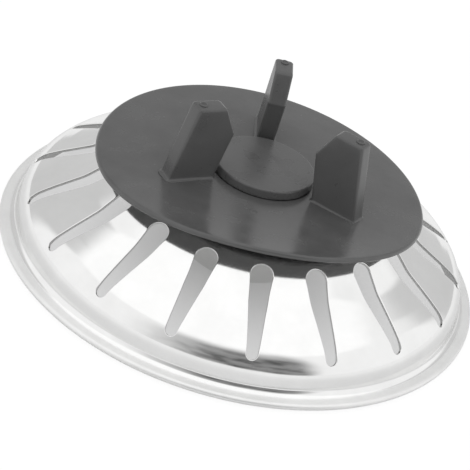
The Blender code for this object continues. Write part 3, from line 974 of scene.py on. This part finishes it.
class Surface:
    """A node material with the few calls that the finishes here need."""

    def __init__(self, name):
        self.material = bpy.data.materials.new(name)
        self.material.use_nodes = True
        self.tree = self.material.node_tree
        self.shader = self.tree.nodes["Principled BSDF"]
        self.position = self.tree.nodes.new("ShaderNodeTexCoord").outputs["Object"]

    def link(self, start, end):
        self.tree.links.new(start, end)

    def spun(self):
        """Position as (distance from the axis, angle, height), for marks left by spinning."""
        across, along, up = axes(self.tree, self.position)
        joined = self.tree.nodes.new("ShaderNodeCombineXYZ")
        for socket, source, scale in zip(
            joined.inputs,
            (distance(self.tree, across, along), worked(self.tree, "ARCTAN2", along, across), up),
            (RING_SCALE, RING_TURN_SCALE, RING_SCALE),
        ):
            self.link(worked(self.tree, "MULTIPLY", source, scale), socket)
        return joined.outputs[0]

    def noise(self, vector, scale, detail, roughness):
        texture = self.tree.nodes.new("ShaderNodeTexNoise")
        texture.inputs["Scale"].default_value = scale
        texture.inputs["Detail"].default_value = detail
        texture.inputs["Roughness"].default_value = roughness
        self.link(vector, texture.inputs["Vector"])
        return texture.outputs["Fac"]

    def ranged(self, value, low, high):
        """A noise spread from low to high."""
        return eased(self.tree, value, NOISE_LOW, NOISE_HIGH, low, high, "LINEAR")

    def tinted(self, value, dark, pale):
        """Colour that runs between two tones."""
        mix = self.tree.nodes.new("ShaderNodeMix")
        mix.data_type = "RGBA"
        mix.inputs["A"].default_value = (*dark, 1)
        mix.inputs["B"].default_value = (*pale, 1)
        self.link(value, mix.inputs["Factor"])
        self.link(mix.outputs["Result"], self.shader.inputs["Base Color"])

    def bumps(self, *layers):
        """Stack of (height, strength, depth) bumps on the surface's normal."""
        normal = None
        for height, strength, depth in layers:
            bump = self.tree.nodes.new("ShaderNodeBump")
            bump.inputs["Strength"].default_value = strength
            bump.inputs["Distance"].default_value = depth
            self.link(height, bump.inputs["Height"])
            if normal is not None:
                self.link(normal, bump.inputs["Normal"])
            normal = bump.outputs["Normal"]
        self.link(normal, self.shader.inputs["Normal"])


def steel(name, dark, pale, smooth, rough, relief, dull=None):
    """Polished stainless sheet: spinning marks, soft unevenness and faint smears.

    It may turn duller away from the axis, given as (start, end, roughness).
    """
    surface = Surface(name)
    surface.shader.inputs["Metallic"].default_value = 1
    spun = surface.spun()
    rings = surface.noise(spun, *RINGS)
    smears = surface.noise(surface.position, *SMEARS)
    swell = surface.noise(surface.position, *SWELL)
    surface.tinted(surface.ranged(smears, 0, 1), dark, pale)
    roughness = surface.ranged(rings, smooth, rough)
    if dull:
        start, end, roughest = dull
        away = axes(surface.tree, spun)["X"]
        worn = eased(surface.tree, away, start * RING_SCALE, end * RING_SCALE, 0, roughest)
        roughness = worked(surface.tree, "MAXIMUM", roughness, worn)
    surface.link(roughness, surface.shader.inputs["Roughness"])
    surface.bumps((swell, relief, SWELL_DEPTH), (rings, RING_STRENGTH, FINE_DEPTH))
    return surface.material


def moulding(name, dark, pale, smooth, rough, relief):
    """Moulding: even colour with a faint cloud, satin skin and fine grain."""
    surface = Surface(name)
    surface.shader.inputs["IOR"].default_value = MOULDING_IOR
    cloud = surface.noise(surface.position, *CLOUDS)
    grain = surface.noise(surface.position, *GRAIN)
    wave = surface.noise(surface.position, *WAVES)
    surface.tinted(surface.ranged(cloud, 0, 1), dark, pale)
    surface.link(surface.ranged(cloud, smooth, rough), surface.shader.inputs["Roughness"])
    surface.bumps((wave, WAVE_STRENGTH, WAVE_DEPTH), (grain, relief, FINE_DEPTH))
    return surface.material


def make_camera():
    """Camera at the photograph's place, aimed and rolled as it was."""
    data = bpy.data.cameras.new("photo_camera")
    data.sensor_width = SENSOR_WIDTH_MM
    data.sensor_fit = "HORIZONTAL"
    data.lens = FOCAL_PIXELS * SENSOR_WIDTH_MM / IMAGE_WIDTH
    data.clip_start = CAMERA_CLIP_START
    camera = bpy.data.objects.new("photo_camera", data)
    bpy.context.scene.collection.objects.link(camera)
    forward = (CAMERA_AIM - CAMERA_PLACE).normalized()
    across = forward.cross(Vector((0, 0, 1))).normalized()
    level = Matrix((across, across.cross(forward), -forward)).transposed().to_4x4()
    placed = Matrix.Translation(CAMERA_PLACE) @ level
    camera.matrix_world = placed @ Matrix.Rotation(CAMERA_ROLL, 4, "Z")
    bpy.context.scene.camera = camera


def floor_material():
    """Pale matt floor, near white to the eye outside the rim and darker under the bowl, where its
    graded glow is painted light and shade; reflections see painted shade round the rim.
    """
    material = bpy.data.materials.new("studio_floor")
    material.use_nodes = True
    tree = material.node_tree
    tree.nodes.clear()
    matt = tree.nodes.new("ShaderNodeBsdfDiffuse")
    matt.inputs["Color"].default_value = (*FLOOR_COLOUR, 1)
    glow = tree.nodes.new("ShaderNodeEmission")
    glow.inputs["Color"].default_value = (1, 1, 1, 1)
    glow.inputs["Strength"].default_value = FLOOR_GLOW
    across, along, _ = axes(tree, tree.nodes.new("ShaderNodeTexCoord").outputs["Object"])
    beyond = distance(tree, across, along)
    rim = (WALL_RADIUS, BLEND_CENTRE_RADIUS)
    # Painted light and shade under the bowl: the glow the eye gets grows from the middle out to the
    # dome
    inside = eased(tree, beyond, 0, DOME_RADIUS, PAINTED_UNDER_BOWL_SIGHT_START, PAINTED_UNDER_BOWL_SIGHT_SHARE)
    outside = eased(tree, beyond, *rim, 0, FLOOR_SIGHT_SHARE - PAINTED_UNDER_BOWL_SIGHT_SHARE)
    # Painted shade in reflections: the floor's glow dips round the rim and grows again farther out
    painted_shade_mirror_near = eased(tree, beyond, *rim, PAINTED_UNDER_BOWL_MIRROR_SHARE, 0)
    painted_shade_mirror_far = eased(tree, beyond, BLEND_CENTRE_RADIUS, PAINTED_SHADE_MIRROR_END, 0, FLOOR_MIRROR_SHARE)
    path = tree.nodes.new("ShaderNodeLightPath").outputs
    bounced = worked(tree, "MAXIMUM", path["Is Glossy Ray"], path["Is Transmission Ray"])
    seen = worked(tree, "MULTIPLY", path["Is Camera Ray"], worked(tree, "ADD", inside, outside))
    mirrored = worked(tree, "MULTIPLY", bounced, worked(tree, "ADD", painted_shade_mirror_near, painted_shade_mirror_far))
    share = worked(tree, "ADD", seen, mirrored)
    mix = tree.nodes.new("ShaderNodeMixShader")
    tree.links.new(share, mix.inputs["Fac"])
    tree.links.new(matt.outputs[0], mix.inputs[1])
    tree.links.new(glow.outputs[0], mix.inputs[2])
    out = tree.nodes.new("ShaderNodeOutputMaterial")
    tree.links.new(mix.outputs[0], out.inputs["Surface"])
    return material


def make_floor():
    mesh = bpy.data.meshes.new("floor")
    corners = []
    for across, along in ((-1, -1), (1, -1), (1, 1), (-1, 1)):
        corners.append((across * FLOOR_REACH, along * FLOOR_REACH, 0))
    mesh.from_pydata(corners, [], [range(len(corners))])
    mesh.materials.append(floor_material())
    item = bpy.data.objects.new("floor", mesh)
    bpy.context.scene.collection.objects.link(item)


class Sky:
    """World whose brightness is set by zones of direction."""

    def __init__(self, name):
        self.world = bpy.data.worlds.new(name)
        self.world.use_nodes = True
        bpy.context.scene.world = self.world
        self.tree = self.world.node_tree
        self.tree.nodes.clear()
        direction = self.tree.nodes.new("ShaderNodeTexCoord").outputs["Generated"]
        self.east, self.north, self.up = axes(self.tree, direction)
        flat = self.work("SUBTRACT", 1, self.work("MULTIPLY", self.up, self.up))
        self.level = self.work("SQRT", self.work("MAXIMUM", flat, LEAST_LEVEL))

    def work(self, operation, *values):
        return worked(self.tree, operation, *values)

    def round_from(self, angle, reach, edge):
        """One inside a span of compass angles round a middle one, zero outside."""
        east_share = self.work("MULTIPLY", self.east, math.cos(angle))
        north_share = self.work("MULTIPLY", self.north, math.sin(angle))
        facing = self.work("DIVIDE", self.work("ADD", east_share, north_share), self.level)
        return eased(self.tree, facing, math.cos(reach + edge), math.cos(reach - edge), 0, 1)

    def above(self, angle, edge, low=0, high=1):
        """Value that changes from low to high where the direction climbs past an angle."""
        return eased(self.tree, self.up, math.sin(angle - edge), math.sin(angle + edge), low, high)

    def shine(self, strength):
        background = self.tree.nodes.new("ShaderNodeBackground")
        background.inputs["Color"].default_value = (1, 1, 1, 1)
        self.tree.links.new(strength, background.inputs["Strength"])
        out = self.tree.nodes.new("ShaderNodeOutputWorld")
        self.tree.links.new(background.outputs[0], out.inputs["Surface"])


def make_world():
    """Studio: white light overhead, grey wall behind, and a dim room in front for the gloss."""
    sky = Sky("studio")
    wall = sky.round_from(BACK_ANGLE, BACK_REACH, BACK_EDGE)
    dimming = sky.work("MULTIPLY", wall, SIDE_LIGHT - BACK_LIGHT)
    sides = sky.work("SUBTRACT", SIDE_LIGHT, dimming)
    overhead = sky.above(TOP_START, TOP_EDGE)
    lift = sky.work("MULTIPLY", overhead, sky.work("SUBTRACT", TOP_LIGHT, sides))
    studio = sky.work("ADD", sides, lift)
    across = sky.work("MULTIPLY", sky.round_from(*ROOM_LEFT), sky.round_from(*ROOM_RIGHT))
    below = sky.above(ROOM_TOP, ROOM_TOP_EDGE, 1, 0)
    upright = sky.work("MULTIPLY", sky.above(0, ROOM_FOOT_EDGE), below)
    cloud = sky.tree.nodes.new("ShaderNodeTexNoise")
    cloud.inputs["Scale"].default_value = ROOM_CLOUD_SCALE
    span = (ROOM_CLOUD_LOW, ROOM_CLOUD_HIGH)
    clouded = eased(sky.tree, cloud.outputs["Fac"], *span, 1 - ROOM_CLOUD, 1)
    room = sky.work("MULTIPLY", sky.work("MULTIPLY", across, upright), clouded)
    glossy = sky.tree.nodes.new("ShaderNodeLightPath").outputs["Is Glossy Ray"]
    dimmed = sky.work("MULTIPLY", sky.work("MULTIPLY", room, glossy), 1 - ROOM_TONE)
    sky.shine(sky.work("MULTIPLY", studio, sky.work("SUBTRACT", 1, dimmed)))


def dress(item, body, slot, *nodes):
    """Put a piece on its body and hide the node that it stands for, if any; its slot is not used.
    """
    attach(item, body)
    if nodes:
        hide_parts(*nodes)


def make_fingers(material):
    """Three fingers, each with a gate mark on its tip."""
    fingers = zip(FINGER_NAMES, FINGER_BODIES, FINGER_INSETS)
    for index, (name, body, inset) in enumerate(fingers):
        angle = FINGER_START + math.tau * index / len(FINGER_NAMES)
        finger = make_finger(name, angle, material)
        finger.data.transform(Matrix.Translation(polar(-inset, angle, 0)))
        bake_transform(finger)
        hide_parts(name)
        reach = FINGER_TIP_OUTER - inset - FINGER_PIP_INSET
        tip = polar(reach, angle, DISC_TOP + FINGER_HEIGHT)
        dress(make_pip(name + "_gate_mark", tip, material), body, "finger_plastic")


def make_pieces():
    bowl_steel = steel("bowl_steel", *BOWL_STEEL, DULL_RIM)
    knob_steel = steel("knob_steel", *KNOB_STEEL)
    stem_metal = steel("stem_metal", *STEM_METAL)
    insert_metal = steel("insert_metal", *INSERT_METAL)
    grey_disc = moulding("disc_moulding", *DISC_MOULDING)
    grey_boss = moulding("boss_moulding", *BOSS_MOULDING)
    grey_finger = moulding("finger_moulding", *FINGER_MOULDING)
    black_rubber = moulding("gasket_moulding", *GASKET_MOULDING)
    black_core = moulding("core_moulding", *CORE_MOULDING)
    dress(Bowl().build(bowl_steel), "plug", "basket_steel", "strainer_basket")
    dress(make_disc(grey_disc), "plug", "disc_rubber", "seal_disc")
    dress(make_boss(grey_boss), "plug", "boss_plastic", "centre_boss")
    dress(make_insert(insert_metal), "plug", "insert_brass", "threaded_insert")
    dress(make_stem(stem_metal), "plug", "stem_steel", "knob_stem")
    gasket_size = (GASKET_RADIUS, GASKET_TOP, GASKET_THICKNESS, GASKET_EDGE_ROUND)
    washer_size = (WASHER_RADIUS, WASHER_TOP, WASHER_THICKNESS, WASHER_EDGE_ROUND)
    gasket = make_ring("soft_gasket", *gasket_size, black_rubber)
    washer = make_ring("steel_washer", *washer_size, stem_metal)
    dress(gasket, "plug", "gasket_rubber", "stem_gasket")
    dress(washer, "plug", "washer_steel", "load_washer")
    dress(make_core(black_core), "plug", "core_plastic", "knob_core")
    dress(make_cap(knob_steel), "plug", "cap_steel", "knob_cap")
    make_fingers(grey_finger)
    disc_place = Vector((DISC_PIP_ACROSS, DISC_PIP_ALONG, DISC_TOP))
    disc_mark = make_pip("disc_gate_mark", disc_place, grey_disc, DISC_PIP_SIZE)
    dress(disc_mark, "plug", "disc_rubber")


def check_nodes():
    """Stop if a node of the part has no piece here that stands for it."""
    for name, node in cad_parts.items():
        if not node.hide_render:
            raise ValueError("node left bare: " + name)


bpy.context.scene.view_settings.view_transform = "Standard"
make_camera()
make_world()
make_floor()
make_pieces()
check_nodes()
